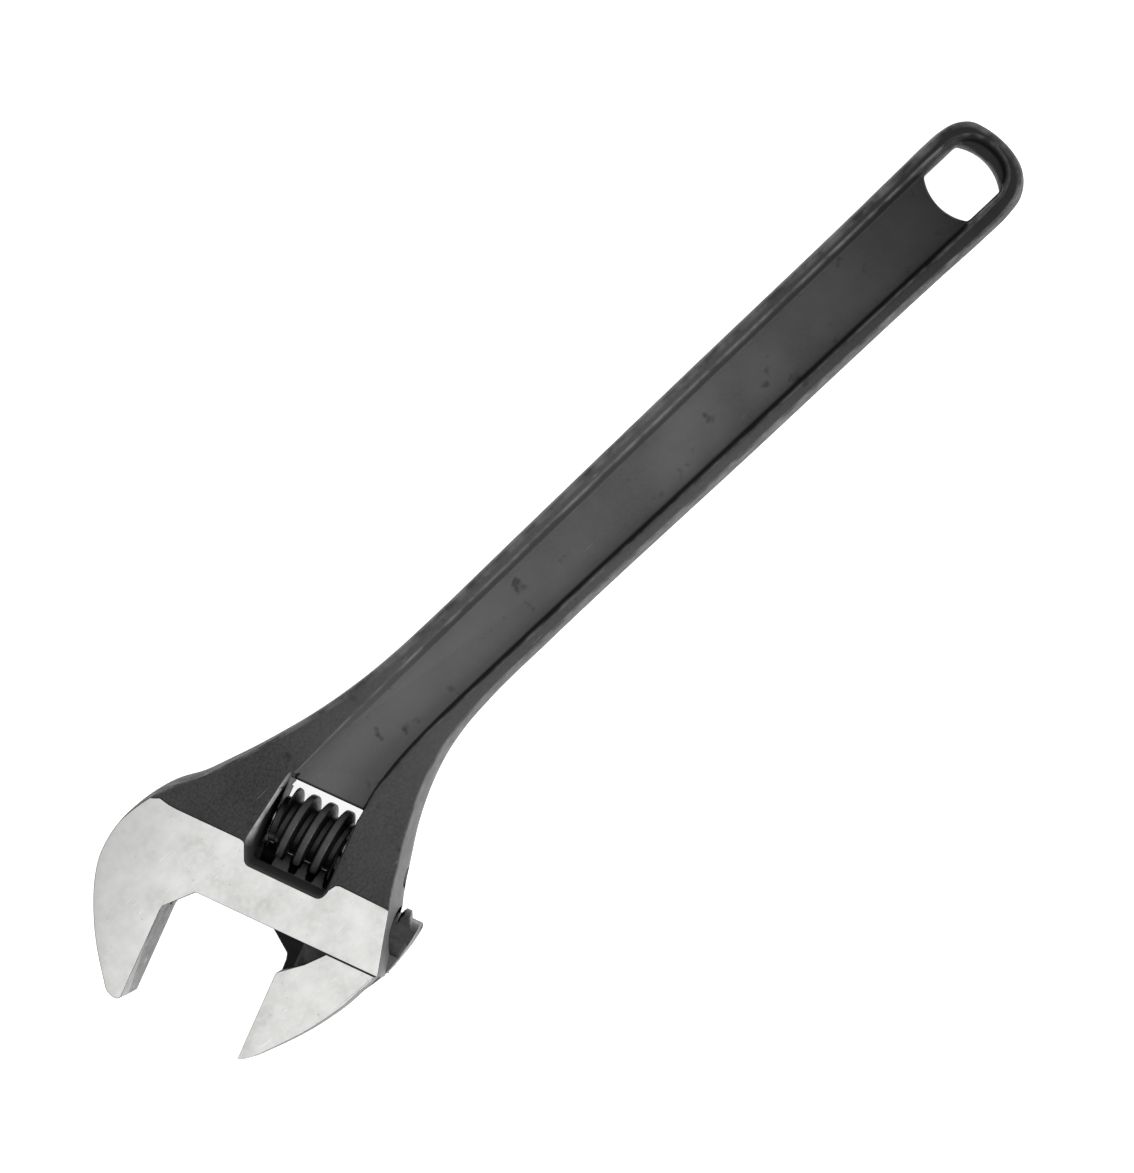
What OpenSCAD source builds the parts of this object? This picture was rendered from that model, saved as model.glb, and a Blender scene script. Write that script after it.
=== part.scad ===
// Adjustable wrench: one forged body, a sliding jaw on a round rack bar, and a
// left-hand worm that turns on a screwed pin against a small take-up spring.
// It lies flat: +X from the head to the handle's end, +Y to the fixed jaw, +Z up.
// The bar's axis crosses the handle's centre line above the origin.

/* [Overall] */
// Length from the fixed jaw's tip to the end of the handle
total_length = 450;          // [370:5:560]
// Thickness of the head between its two ground faces
head_thickness = 28;         // [22:0.5:36]
// Thickness of the handle's rims
handle_thickness = 17;       // [13:0.5:21]
// Width of the handle where it leaves the head
neck_width = 35.2;           // [30:0.2:44]
// Width of the handle at its round end
end_width = 38.8;            // [34:0.2:48]
// Turn of the head against the handle, in degrees
head_turn = 22.5;            // [15:0.5:25]

/* [Jaws] */
// Opening between the jaws as drawn
opening = 48.6;              // [2:0.1:53]
// Widest opening
max_opening = 53;            // [44:0.5:64]
// Depth of the jaws below the throat
jaw_depth = 47.5;            // [38:0.5:58]
// Gap between the sliding jaw and the throat face
jaw_gap = 0.6;               // [0.2:0.1:1.2]

/* [Slide and rack] */
// Diameter of the round rack bar
bar_d = 19;                  // [15:0.5:23]
// Radial clearance of the bar in its bore
bar_clear = 0.08;            // [0.03:0.01:0.1]
// Thickness of the neck that joins the bar and the jaw
neck_t = 10;                 // [8:0.5:12]
// Depth of the rack grooves
tooth_depth = 3.8;           // [3:0.1:4.4]
// Side clearance between a rack tooth and the worm thread
flank_clear = 0.3;           // [0.25:0.05:0.5]

/* [Worm] */
// Outside diameter of the worm
worm_d = 27;                 // [22:0.5:33]
// Lead of the single left-hand thread
pitch = 7;                   // [5.6:0.2:8.4]
// Length of the worm
worm_length = 27.4;          // [22:0.2:34]
// Gap at each end of the worm
worm_gap = 0.8;              // [0.3:0.1:1.5]
// Diameter of the worm's pin
pin_d = 7;                   // [5.5:0.25:9]
// Wire of the take-up spring
wire_d = 0.9;                // [0.7:0.05:1.2]

/* [Handle detail] */
// Thickness of the web between the rims
web_t = 8;                   // [6:0.5:11]
// Width of the rim round the web
rim_w = 5;                   // [4:0.25:6.5]
// Length of the hanging hole along the handle
hole_length = 23.3;          // [18:0.5:28]
// Width of the hanging hole across the handle
hole_width = 23.4;           // [18:0.5:26]

/* [Hidden] */
$fn = 96;
eps = 0.01;
turn = head_turn - 90;
mid = head_thickness / 2;
bar_r = bar_d / 2;
worm_r = worm_d / 2;
pin_r = pin_d / 2;
grow = bar_r / 9.5;

// Head frame: s along the jaw's travel, q from the jaws to the handle
throat_q = -(bar_r + 6.7 * grow);
face_s = -19.4;
jaw_s = face_s + opening;
tip_q = throat_q - jaw_depth;
flank_s = face_s + max_opening + 29.6;
mesh = tooth_depth - 0.6;
worm_q = bar_r + worm_r - mesh;
crest_s = 17.74;
window_mid = 18.15;
window_s0 = window_mid - worm_length / 2 - worm_gap;
window_s1 = window_mid + worm_length / 2 + worm_gap;
window_q0 = bar_r * 0.56;
window_q1 = worm_q + worm_r + 2.5;
ground_q = 8.5 * grow;
black_drop = 0.4;

// Bar: travel decides how deep the blind bore runs
bar_s0 = jaw_s - 18.6;
bar_cone = bar_r / tan(59);
bore_s0 = bar_s0 - opening - 0.8;
bar_s1 = jaw_s + 40.6;

// Worm thread, seen square to its axis
crest_half = 60;
root_half = 135;
thread_h = 4;
root_r = worm_r - thread_h;
slope = pitch * (root_half - crest_half) / 360 / thread_h;
crest_w = pitch * crest_half / 180;
lead_angle = atan(pitch / (2 * PI * (worm_r - mesh / 2)));

// Spring pocket in the worm's end
coil_r = pin_r + wire_d / 2 + 0.25;
pocket_r = coil_r + wire_d / 2 + 0.35;
pocket_l = 9;
coil_turns = 5;

// Handle
end_x = total_length - 68;
hole_x1 = end_x - 9.7;
hole_x0 = hole_x1 - hole_length;
end_r = end_width * 0.46;

function at_head(p) = [p[0] * cos(turn) - p[1] * sin(turn), p[0] * sin(turn) + p[1] * cos(turn)];
function mix(a, b, c, d, t) = 0.5 * (2 * b + (c - a) * t + (2 * a - 5 * b + 4 * c - d) * t * t
    + (3 * b - a - 3 * c + d) * t * t * t);
// A smooth line through points, a few steps to each span
function smooth(p, n = 5) = let (m = len(p) - 1)
    [for (i = [0 : m - 1], k = [0 : n - 1])
        mix(p[max(i - 1, 0)], p[i], p[i + 1], p[min(i + 2, m)], k / n), p[m]];
function arc(c, r, a0, a1, n = 16) = [for (i = [0 : n])
    c + r * [cos(a0 + (a1 - a0) * i / n), sin(a0 + (a1 - a0) * i / n)]];

// Outer line of the fixed jaw, from its tip round the back to the neck
jaw_back = [
    [face_s, tip_q + 1.8],
    [face_s - 2.2, tip_q - 0.2],
    [face_s - 5.4, tip_q + 0.8],
    [face_s - 13.6, tip_q + 0.21 * jaw_depth],
    [face_s - 23.8, tip_q + 0.57 * jaw_depth],
    [face_s - 29.3, throat_q - 3.8],
    [face_s - 27.6, throat_q + 12.6 * grow],
    [face_s - 18.4, throat_q + 31],
    [face_s - 1, throat_q + 48.6]
];
// The handle's upper line, from the neck to where it runs straight
top_line = [[33.8, neck_width / 2 + 10.2], [53.8, neck_width / 2 + 5.3], [73.8, neck_width / 2 + 1.9],
    [93.8, neck_width / 2 + 0.4], [118, neck_width / 2]];
bottom_line = [[114, -neck_width / 2], [98.8, -neck_width / 2 - 1], [78.8, -neck_width / 2 - 5.8],
    [63.8, -neck_width / 2 - 12], [48.8, -neck_width / 2 - 21.9]];
// The flank beside the sliding jaw
flank = [[flank_s - 9, worm_q + 14], [flank_s - 7.2, worm_q + 3], [flank_s - 4.6, ground_q],
    [flank_s + 0.4, throat_q + 0.9], [flank_s - 0.2, throat_q]];

module head_frame() {
    rotate([0, 0, turn]) children();
}

// A cylinder along the jaw's travel
module rod(r, s0, s1, q) {
    translate([s0, q, mid]) rotate([0, 90, 0]) cylinder(h = s1 - s0, r = r);
}

// Outline of the forging, handle and head in one
module outline() {
    polygon(concat(
        [for (p = smooth(concat(jaw_back, [for (t = [top_line[0]]) at_wrench(t)]))) at_head(p)],
        smooth(top_line),
        arc([end_x - end_r, end_width / 2 - end_r], end_r, 90, 0),
        arc([end_x - end_r, end_r - end_width / 2], end_r, 0, -90),
        smooth(bottom_line),
        [for (p = flank) at_head(p)],
        [at_head([face_s + 9.4, throat_q]), at_head([face_s + 0.2, throat_q - 9.8]),
         at_head([face_s, throat_q - 11.5])]
    ));
}
function at_wrench(p) = [p[0] * cos(turn) + p[1] * sin(turn), p[1] * cos(turn) - p[0] * sin(turn)];

// Side view of the forging: full head, then an even run down to the handle
module side_view() {
    rise = mid - black_drop;
    half = handle_thickness / 2;
    upper = concat([[-90, rise]], smooth([[36, rise], [62, rise - (rise - half) * 0.26],
        [88, rise - (rise - half) * 0.72], [112, half + 0.3], [132, half]], 4), [[end_x + 20, half]]);
    polygon(concat(upper, [for (i = [len(upper) - 1 : -1 : 0]) [upper[i][0], -upper[i][1]]]));
}

// Web pocket outline: from the window, down the handle and round the hanging hole
module pocket_line() {
    r = end_r - rim_w;
    polygon(concat(
        [[36, neck_width / 2 - rim_w - 1.4]],
        arc([end_x - end_r, end_width / 2 - end_r], r, 90, 0),
        arc([end_x - end_r, end_r - end_width / 2], r, 0, -90),
        smooth([[94, 6.2 - neck_width / 2], [74, 5.8 - neck_width / 2], [59, 4 - neck_width / 2],
            [43, 0.4 - neck_width / 2]])
    ));
}

// The ground band across both jaws, slightly proud of the forged skin
module ground_band() {
    head_frame() translate([-80, -120]) square([160, 120 + ground_q]);
}

// The hanging hole: straight long sides, bowed ends
module hole_line() {
    x = (hole_x0 + hole_x1) / 2;
    bow = hole_width * 0.81;
    intersection() {
        translate([hole_x0 + bow, 0]) circle(bow);
        translate([hole_x1 - bow, 0]) circle(bow);
        translate([x - hole_length / 2 - 1, -hole_width / 2]) square([hole_length + 2, hole_width]);
    }
}

// Cut for the worm: a straight window with sloped lead-ins on both faces
module window() {
    translate([window_s0, window_q0, -1])
        cube([window_s1 - window_s0, window_q1 - window_q0, head_thickness + 2]);
    for (side = [0, 1]) translate([0, 0, mid]) mirror([0, 0, side]) {
        lip = ground_q - 1.3 - 5.7 * grow;
        // towards the throat
        translate([window_s0 - 0.5, 0, 0]) rotate([90, 0, 90])
            linear_extrude(window_s1 - window_s0 + 1)
            polygon([[window_q0, mid * 0.55], [window_q0 + 4, mid * 0.55], [window_q0 + 4, mid + 1],
                [lip - 0.5, mid + 1], [lip, mid]]);
        // towards the fixed jaw
        translate([window_s0, window_q1, 0]) rotate([0, 0, -9.5]) rotate([90, 0, 0])
            linear_extrude(window_q1 - window_q0 - 2)
            polygon([[0, mid * 0.3], [6, mid * 0.3], [6, mid + 1], [-0.8, mid + 1], [-0.8, mid]]);
        // notch in the ground face
        translate([0, 0, mid - black_drop]) linear_extrude(black_drop + 1)
            polygon([[window_s0 - 4.8, ground_q + 1], [window_s0 - 4.8, ground_q], [window_s0 - 0.5, lip],
                [window_s1 + 0.5, lip], [window_s1 + 4.3, ground_q], [window_s1 + 4.3, ground_q + 1]]);
    }
}

// Where the bar and its neck travel
module slide_way() {
    r = bar_r + bar_clear;
    slot = neck_t + 2 * bar_clear;
    rod(r, bore_s0, 90, 0);
    translate([bore_s0 + eps, 0, mid]) rotate([0, -90, 0])
        cylinder(h = bar_cone * r / bar_r, r1 = r, r2 = 0);
    translate([0, 0, mid - slot / 2]) linear_extrude(slot)
        polygon([[90, 0], [90, throat_q - 15], [face_s + 1, throat_q - 15], [face_s - 0.5, throat_q - 9.6],
            [face_s - 1, throat_q - 7.6], [face_s - 11.6, throat_q], [face_s - 11.6, 0]]);
}

module body() {
    color([0.21, 0.21, 0.22])
    difference() {
        union() {
            difference() {
                intersection() {
                    linear_extrude(head_thickness) outline();
                    translate([0, 90, mid]) rotate([90, 0, 0]) linear_extrude(180) side_view();
                }
                for (side = [0, 1]) translate([0, 0, mid]) mirror([0, 0, side])
                    translate([0, 0, web_t / 2]) linear_extrude(head_thickness) difference() {
                        pocket_line();
                        head_frame() translate([-80, -80]) square([160, 80 + window_q1 - eps]);
                    }
            }
            linear_extrude(head_thickness) intersection() {
                outline();
                ground_band();
            }
        }
        head_frame() {
            window();
            slide_way();
            rod(pin_r + 0.03, window_s0 - 9, 90, worm_q);
        }
        translate([0, 0, -1]) linear_extrude(head_thickness + 2) hole_line();
    }
}

// Straight grooves across the bar, leaning with the thread
module rack_grooves() {
    low = bar_r - tooth_depth;
    half = crest_w / 2 + flank_clear;
    first = crest_s - pitch * ceil((crest_s - bar_s0 + pitch) / pitch);
    for (s = [first : pitch : bar_s1 + pitch])
        translate([s, 0, mid]) rotate([0, lead_angle, 0]) translate([0, 0, -bar_d])
            linear_extrude(2 * bar_d) polygon([
                [-half + slope * 0.6, low], [half - slope * 0.6, low],
                [half + slope * (mesh + 2), bar_r + 2], [-half - slope * (mesh + 2), bar_r + 2]]);
}

module sliding_jaw() {
    top = throat_q - jaw_gap;
    color([0.78, 0.78, 0.77])
    head_frame() {
        // bar with rack and neck, cut off along the jaw's back
        difference() {
            intersection() {
                union() {
                    rod(bar_r, bar_s0, bar_s1 + 2, 0);
                    translate([bar_s0 + eps, 0, mid]) rotate([0, -90, 0])
                        cylinder(h = bar_cone, r1 = bar_r, r2 = 0);
                    translate([0, 0, mid - neck_t / 2]) linear_extrude(neck_t)
                        polygon([[jaw_s - 10.5, 0], [jaw_s - 10.5, throat_q], [jaw_s - 0.1, throat_q - 7.6],
                            [jaw_s + 0.5, throat_q - 9.6], [jaw_s + 0.5, throat_q - 13.8],
                            [jaw_s + 4, throat_q - 15], [jaw_s + 34, throat_q - 6],
                            [bar_s1, throat_q + 5], [bar_s1, 0]]);
                }
                linear_extrude(head_thickness)
                    polygon(concat([[bar_s0 - 20, 40], [bar_s1 - 0.6, 40]],
                        smooth([[bar_s1, 5 * grow], [bar_s1 - 2, -7 * grow], [jaw_s + 34.6, top - 0.6]]),
                        [[jaw_s + 30, top - 12], [bar_s0 - 20, top - 16]]));
            }
            rack_grooves();
        }
        // jaw plate
        linear_extrude(head_thickness)
            polygon(concat(
                [[jaw_s + 13.9, top], [jaw_s + 0.2, top - 12.4], [jaw_s, top - 13.5], [jaw_s, tip_q - 0.6]],
                smooth([[jaw_s + 1.6, tip_q - 0.8], [jaw_s + 8.8, tip_q + 0.1 * jaw_depth],
                    [jaw_s + 19.6, tip_q + 0.37 * jaw_depth], [jaw_s + 29.6, tip_q + 0.71 * jaw_depth],
                    [jaw_s + 34.6, top - 0.4]]),
                [[jaw_s + 34.4, top]]));
    }
}

// Section of the threaded worm: crest, two flanks, root, round one turn
function thread_r(a) = a <= crest_half ? worm_r
    : a >= root_half ? root_r
    : worm_r - thread_h * (a - crest_half) / (root_half - crest_half);

module worm() {
    step = 15;
    s0 = window_mid - worm_length / 2;
    turns = worm_length / pitch;
    // start angle so that a crest meets the rack groove at crest_s
    start = 180 + 360 * (crest_s - s0) / pitch;
    color([0.13, 0.13, 0.13])
    head_frame() translate([s0, worm_q, mid]) rotate([90, 0, 90])
        difference() {
            rotate([0, 0, start]) linear_extrude(worm_length, twist = 360 * turns,
                slices = ceil(360 * turns / step), $fn = 12)
                polygon([for (a = [-180 + step : step : 180]) thread_r(abs(a)) * [cos(a), sin(a)]]);
            translate([0, 0, -1]) cylinder(h = worm_length + 2, r = pin_r + 0.06);
            translate([0, 0, -1]) cylinder(h = pocket_l + 1, r = pocket_r);
        }
}

module worm_pin() {
    flank_in = flank_s - 7.5 - 3.5;
    color([0.3, 0.3, 0.31])
    head_frame() difference() {
        rod(pin_r, window_s0 - 8.5, flank_in, worm_q);
        translate([flank_in - 1.6, worm_q - 0.6, mid - pin_d]) cube([3, 1.2, 2 * pin_d]);
    }
}

module worm_spring() {
    length = worm_gap + pocket_l - 0.3;
    coil_lead = (length - wire_d) / coil_turns;
    // square to the axis, the round wire cuts as a long bow
    bow = 180 * wire_d / coil_lead;
    n = 4;
    function half_w(k) = wire_d / 2 * sqrt(max(0, 1 - pow(k / n, 2)));
    color([0.55, 0.55, 0.56])
    head_frame() translate([window_s0 + 0.1, worm_q, mid]) rotate([90, 0, 90])
        linear_extrude(length, twist = 360 * length / coil_lead, slices = 15 * coil_turns, $fn = 12)
        polygon(concat(
            [for (k = [-n : n]) (coil_r + half_w(k)) * [cos(bow * k / n), sin(bow * k / n)]],
            [for (k = [n - 1 : -1 : 1 - n]) (coil_r - half_w(k)) * [cos(bow * k / n), sin(bow * k / n)]]
        ));
}

body();
sliding_jaw();
worm();
worm_pin();
worm_spring();
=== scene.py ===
# %% [markdown]
# # An adjustable wrench
#
# The wrench is one big forging, a jaw that slides on a round rack bar, and a worm
# that drives the bar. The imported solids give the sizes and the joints. This script
# gives each piece the surface that a forge, a grinder and a lathe leave on it.
#
# Shapes are worked out in millimetres with numpy and turned into metres when a mesh
# is made. The head is turned against the handle, so two sets of axes are used:
# x and y along and across the handle, and s and q along the jaw's travel and
# square to it. The rack bar runs along q = 0.

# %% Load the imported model
import bpy
import numpy as np
from mathutils import Matrix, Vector
from mathutils.geometry import delaunay_2d_cdt


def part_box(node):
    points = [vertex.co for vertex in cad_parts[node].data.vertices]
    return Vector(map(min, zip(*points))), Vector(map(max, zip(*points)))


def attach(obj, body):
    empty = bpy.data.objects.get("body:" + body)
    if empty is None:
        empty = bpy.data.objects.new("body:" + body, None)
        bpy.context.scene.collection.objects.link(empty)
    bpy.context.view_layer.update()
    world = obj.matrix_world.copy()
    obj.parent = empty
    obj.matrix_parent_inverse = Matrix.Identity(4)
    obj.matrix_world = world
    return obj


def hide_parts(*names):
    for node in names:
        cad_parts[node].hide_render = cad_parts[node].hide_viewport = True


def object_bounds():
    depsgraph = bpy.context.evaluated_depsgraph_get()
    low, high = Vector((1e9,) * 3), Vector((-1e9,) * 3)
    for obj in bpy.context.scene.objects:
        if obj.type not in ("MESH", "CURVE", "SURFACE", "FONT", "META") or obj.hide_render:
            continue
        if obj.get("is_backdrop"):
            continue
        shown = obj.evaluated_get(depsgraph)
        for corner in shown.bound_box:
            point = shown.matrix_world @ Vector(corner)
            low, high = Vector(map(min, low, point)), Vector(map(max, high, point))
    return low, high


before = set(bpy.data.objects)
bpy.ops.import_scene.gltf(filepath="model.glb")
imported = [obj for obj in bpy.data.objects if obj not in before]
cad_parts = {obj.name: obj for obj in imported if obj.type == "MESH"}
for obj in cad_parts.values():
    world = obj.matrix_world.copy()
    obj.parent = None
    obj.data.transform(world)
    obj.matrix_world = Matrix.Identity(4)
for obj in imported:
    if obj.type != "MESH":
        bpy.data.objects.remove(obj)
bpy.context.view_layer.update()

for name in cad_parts:
    low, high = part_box(name)
    print(name, [round(1000 * v, 1) for v in (*low, *high)])

# %% [markdown]
# ## Camera, floor and light
#
# A tool laid on a white table is best seen from nearly above with a long lens,
# because a short lens would bend the straight handle. The camera's place and its
# three directions are set as numbers, so the view never depends on the model.

# %% The camera
view_right = np.array([0.72711376, -0.68084304, -0.08808146])
view_down = np.array([-0.68447889, -0.72884249, -0.01665144])
eye = np.array([0.218694, -0.09281, 1.184634])


def add_camera(right, down, place, lens):
    """A camera at place whose picture's right and down directions are given."""
    data = bpy.data.cameras.new("camera")
    data.lens = lens
    data.sensor_width = 36
    camera = bpy.data.objects.new("camera", data)
    back = np.cross(right, -down)
    turn = Matrix([[right[i], -down[i], back[i]] for i in range(3)])
    camera.matrix_world = Matrix.Translation(place) @ turn.to_4x4()
    bpy.context.scene.collection.objects.link(camera)
    return camera


bpy.context.scene.camera = add_camera(view_right, view_down, eye, 98.21)

# %% [markdown]
# A plain white table lies just under the wrench. It glows, as a light table does, so
# the wrench's own shadow hardly shows. Two broad area lights and a pale sky
# give soft light: ground steel shows up only where it mirrors something bright.

# %% Floor and lights
def lit_table(name, white, glow):
    """A plain white material that also glows, for the floor only."""
    material = bpy.data.materials.new(name)
    material.use_nodes = True
    shader = material.node_tree.nodes["Principled BSDF"]
    for socket, value in (("Base Color", white), ("Emission Color", 1.0)):
        shader.inputs[socket].default_value = (value, value, value, 1)
    shader.inputs["Roughness"].default_value = 0.9
    shader.inputs["Emission Strength"].default_value = glow
    return material


bpy.ops.mesh.primitive_plane_add(size=6, location=(0.15, 0, -0.0005))
floor = bpy.context.object
floor.name = "floor"
floor.data.materials.append(lit_table("table", 0.85, 0.85))
floor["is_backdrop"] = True


def add_light(name, place, aim, size, power):
    """A square soft light at place, turned to face aim."""
    data = bpy.data.lights.new(name, "AREA")
    data.size = size
    data.energy = power
    lamp = bpy.data.objects.new(name, data)
    place, aim = np.array(place), np.array(aim)
    back = (place - aim) / np.linalg.norm(place - aim)
    side = np.cross((0.0, 0.9, 0.44), back)
    side /= np.linalg.norm(side)
    up = np.cross(back, side)
    turn = Matrix([[side[i], up[i], back[i]] for i in range(3)])
    lamp.matrix_world = Matrix.Translation(place) @ turn.to_4x4()
    bpy.context.scene.collection.objects.link(lamp)


add_light("overhead", (0.1, 0.1, 1.6), (0.15, 0, 0), 2.5, 14)
add_light("right_side", (0.2, -1.3, 0.9), (0.15, 0, 0), 0.8, 15)
world = bpy.data.worlds.new("studio")
world.use_nodes = True
world.node_tree.nodes["Background"].inputs["Color"].default_value = (1, 1, 1, 1)
world.node_tree.nodes["Background"].inputs["Strength"].default_value = 0.5
bpy.context.scene.world = world
bpy.context.scene.view_settings.view_transform = "Standard"

# %% [markdown]
# ## Sizes shared by the pieces
#
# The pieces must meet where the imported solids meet, so the few sizes that matter
# for the fit are written once, in millimetres, and used everywhere below.

# %% Sizes in millimetres
head_turn = np.radians(-67.5)
mid = 14.0                      # height of the mid-plane
ground_half = 14.0              # half the thickness between the ground faces
skin_half = 13.6                # the forged skin lies a little lower
rim_half = 8.5                  # half the thickness of the handle's rims
web_half = 4.0
bar_r = 9.5
worm_q, worm_r = 19.8, 13.5
pitch = 7.0
throat_q = -16.2
fixed_s, sliding_s = -19.4, 29.2
along = np.array([np.cos(head_turn), np.sin(head_turn)])
across = np.array([-np.sin(head_turn), np.cos(head_turn)])


def at_head(points):
    """Turns (s, q) columns into (x, y): x, y = s times along plus q times across."""
    points = np.asarray(points, float).copy()
    points[:, :2] = points[:, :1] * along + points[:, 1:2] * across
    return points


def head_place(points):
    """The s and q of points given in x and y."""
    return points[..., :2] @ along, points[..., :2] @ across


print("jaw travel runs along", along.round(5))

# %% [markdown]
# ## Meshes from arrays
#
# Every piece below is a grid of points, a stack of loops, or both. Two helpers do
# all the work: one turns arrays into a mesh, and one joins stacked loops with
# four-sided faces and closes the ends.

# %% Mesh helpers
def add_mesh(name, points, faces, smooth_below=35.0):
    """A mesh object from points in millimetres and a list or array of faces.
    Edges that turn by more than smooth_below degrees stay sharp."""
    mesh = bpy.data.meshes.new(name)
    mesh.from_pydata((np.asarray(points) * 0.001).tolist(), [], [list(f) for f in faces])
    mesh.validate()
    piece = bpy.data.objects.new(name, mesh)
    bpy.context.scene.collection.objects.link(piece)
    soften(piece, smooth_below)
    return piece


def soften(piece, smooth_below=35.0):
    """Smooth shading, with edges kept sharp where the surface turns quickly."""
    piece.data.shade_smooth()
    piece.data.set_sharp_from_angle(angle=np.radians(smooth_below))


def read_all(items, name, width, kind=np.float32):
    """One property of all the items as an array, width numbers to a row."""
    values = np.zeros(len(items) * width, kind)
    items.foreach_get(name, values)
    return values.reshape(-1, width) if width > 1 else values


def grid_faces(rows, columns, wrap):
    """Quads of a grid of rows by columns; wrap joins the last column to the first."""
    j = np.arange(columns if wrap else columns - 1)
    i = np.arange(rows - 1)[:, None]
    k = (j + 1) % columns
    return np.stack([i * columns + j, i * columns + k,
                     (i + 1) * columns + k, (i + 1) * columns + j], -1).reshape(-1, 4)


def loft(loops):
    """Points and faces of a closed solid made of stacked loops, flat at both ends."""
    loops = np.asarray(loops, float)
    rows, columns = loops.shape[:2]
    faces = [tuple(f) for f in grid_faces(rows, columns, True)]
    faces.append(tuple(range(columns))[::-1])
    faces.append(tuple(range((rows - 1) * columns, rows * columns)))
    return loops.reshape(-1, 3), faces


def smooth_line(points, step):
    """Points about step apart on a curve through the given ones. Between two points
    each column is a cubic that leaves and arrives along the mean of the chords there."""
    p = np.asarray(points, float)
    chord = np.linalg.norm(np.diff(p[:, :2], axis=0), axis=1)
    at = np.concatenate([[0], np.cumsum(chord)])
    slope = np.diff(p, axis=0) / chord[:, None]
    inner = (slope[1:] * chord[:-1, None] + slope[:-1] * chord[1:, None])
    inner /= (chord[1:] + chord[:-1])[:, None]
    tangent = np.vstack([slope[:1], inner, slope[-1:]])
    where = np.linspace(0, at[-1], max(2, int(round(at[-1] / step)) + 1))
    i = np.clip(np.searchsorted(at, where, side="right") - 1, 0, len(chord) - 1)
    h, t = chord[i][:, None], ((where - at[i]) / chord[i])[:, None]
    return ((2 * t**3 - 3 * t**2 + 1) * p[i] + (t**3 - 2 * t**2 + t) * h * tangent[i]
            + (3 * t**2 - 2 * t**3) * p[i + 1] + (t**3 - t**2) * h * tangent[i + 1])


sharp_corner = 0.3              # the sine of the turn past which a corner counts as one


def inward_shift(loop, amount, turn_side):
    """Where each corner of a closed loop goes when every side moves inwards by its own
    amount. Side i runs from point i to point i + 1. At a corner both sides' new lines
    cross; on a nearly straight run the corner moves along the mean normal."""
    side = np.roll(loop, -1, axis=0) - loop
    side /= np.linalg.norm(side, axis=1)[:, None]
    normal = turn_side * np.stack([-side[:, 1], side[:, 0]], 1)
    before, after = np.roll(normal, 1, axis=0), normal
    da, db = np.roll(amount, 1), amount
    cross = before[:, 0] * after[:, 1] - before[:, 1] * after[:, 0]
    mean = before + after
    mean /= np.sum(mean * before, axis=1)[:, None]
    shift = mean * ((da + db) / 2)[:, None]
    sharp = np.abs(cross) > sharp_corner
    c = np.where(sharp, cross, 1)
    corner = np.stack([da * after[:, 1] - db * before[:, 1],
                       db * before[:, 0] - da * after[:, 0]], 1) / c[:, None]
    shift[sharp] = corner[sharp]
    return loop + shift


def inside(points, loop):
    """True for points inside a closed loop: a ray to the right crosses it an odd
    number of times."""
    a, b = loop, np.roll(loop, -1, axis=0)
    px, py = points[:, :1], points[:, 1:2]
    spans = (a[:, 1] > py) != (b[:, 1] > py)
    rise = np.where(b[:, 1] == a[:, 1], 1, b[:, 1] - a[:, 1])
    x = a[:, 0] + (py - a[:, 1]) / rise * (b[:, 0] - a[:, 0])
    return (spans & (px < x)).sum(axis=1) % 2 == 1


def clearance(points, line):
    """Each point's distance to the nearest point of a line."""
    return np.linalg.norm(points[:, None] - line[None], axis=2).min(axis=1)


# %% [markdown]
# ## The forging
#
# Handle, head and fixed jaw are one drop forging. The two halves of the die meet at
# the mid-plane, and the sides lean in from there so that the piece can leave the
# die. Afterwards the jaw faces and a band across the head are ground flat.
#
# A box with rounded edges would miss the lean of the sides and how it changes from
# place to place. So the outline at the mid-plane is a list of points with two more
# columns: how far the side leans in, and the radius of its upper edge.

# %% Outline of the forging
neck_near, neck_far = 30, 125   # the skin eases down between these places along x


def smoothstep(a, b, v):
    """0 at a and before, 1 at b and past it, 3t^2 - 2t^3 between."""
    t = np.clip((v - a) / (b - a), 0, 1)
    return t * t * (3 - 2 * t)


def skin_height(x):
    """Half the thickness of the forged skin: full at the head, easing down to the rims."""
    return rim_half + (skin_half - rim_half) * (1 - smoothstep(neck_near, neck_far, x))


# s, q, lean, edge radius: round the back of the fixed jaw, from its tip
jaw_back = at_head([
    [-19.4, -62.9, 0.0, 0.3], [-20.3, -64.3, 0.3, 0.4], [-22.4, -64.6, 0.6, 0.4],
    [-25.6, -63.5, 0.8, 0.4], [-29.0, -59.5, 0.8, 0.4],
    [-33.4, -53.7, 0.8, 0.4], [-38.2, -46.5, 0.8, 0.4], [-43.3, -36.9, 0.8, 0.4],
    [-47.0, -28.0, 0.9, 0.4], [-49.0, -19.8, 1.0, 0.4], [-49.1, -11.6, 1.2, 0.4],
    [-47.7, -3.4, 1.5, 0.4], [-44.3, 4.6, 1.8, 0.5], [-39.9, 12.0, 2.0, 0.9],
    [-35.4, 17.6, 2.3, 1.0]])
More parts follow.
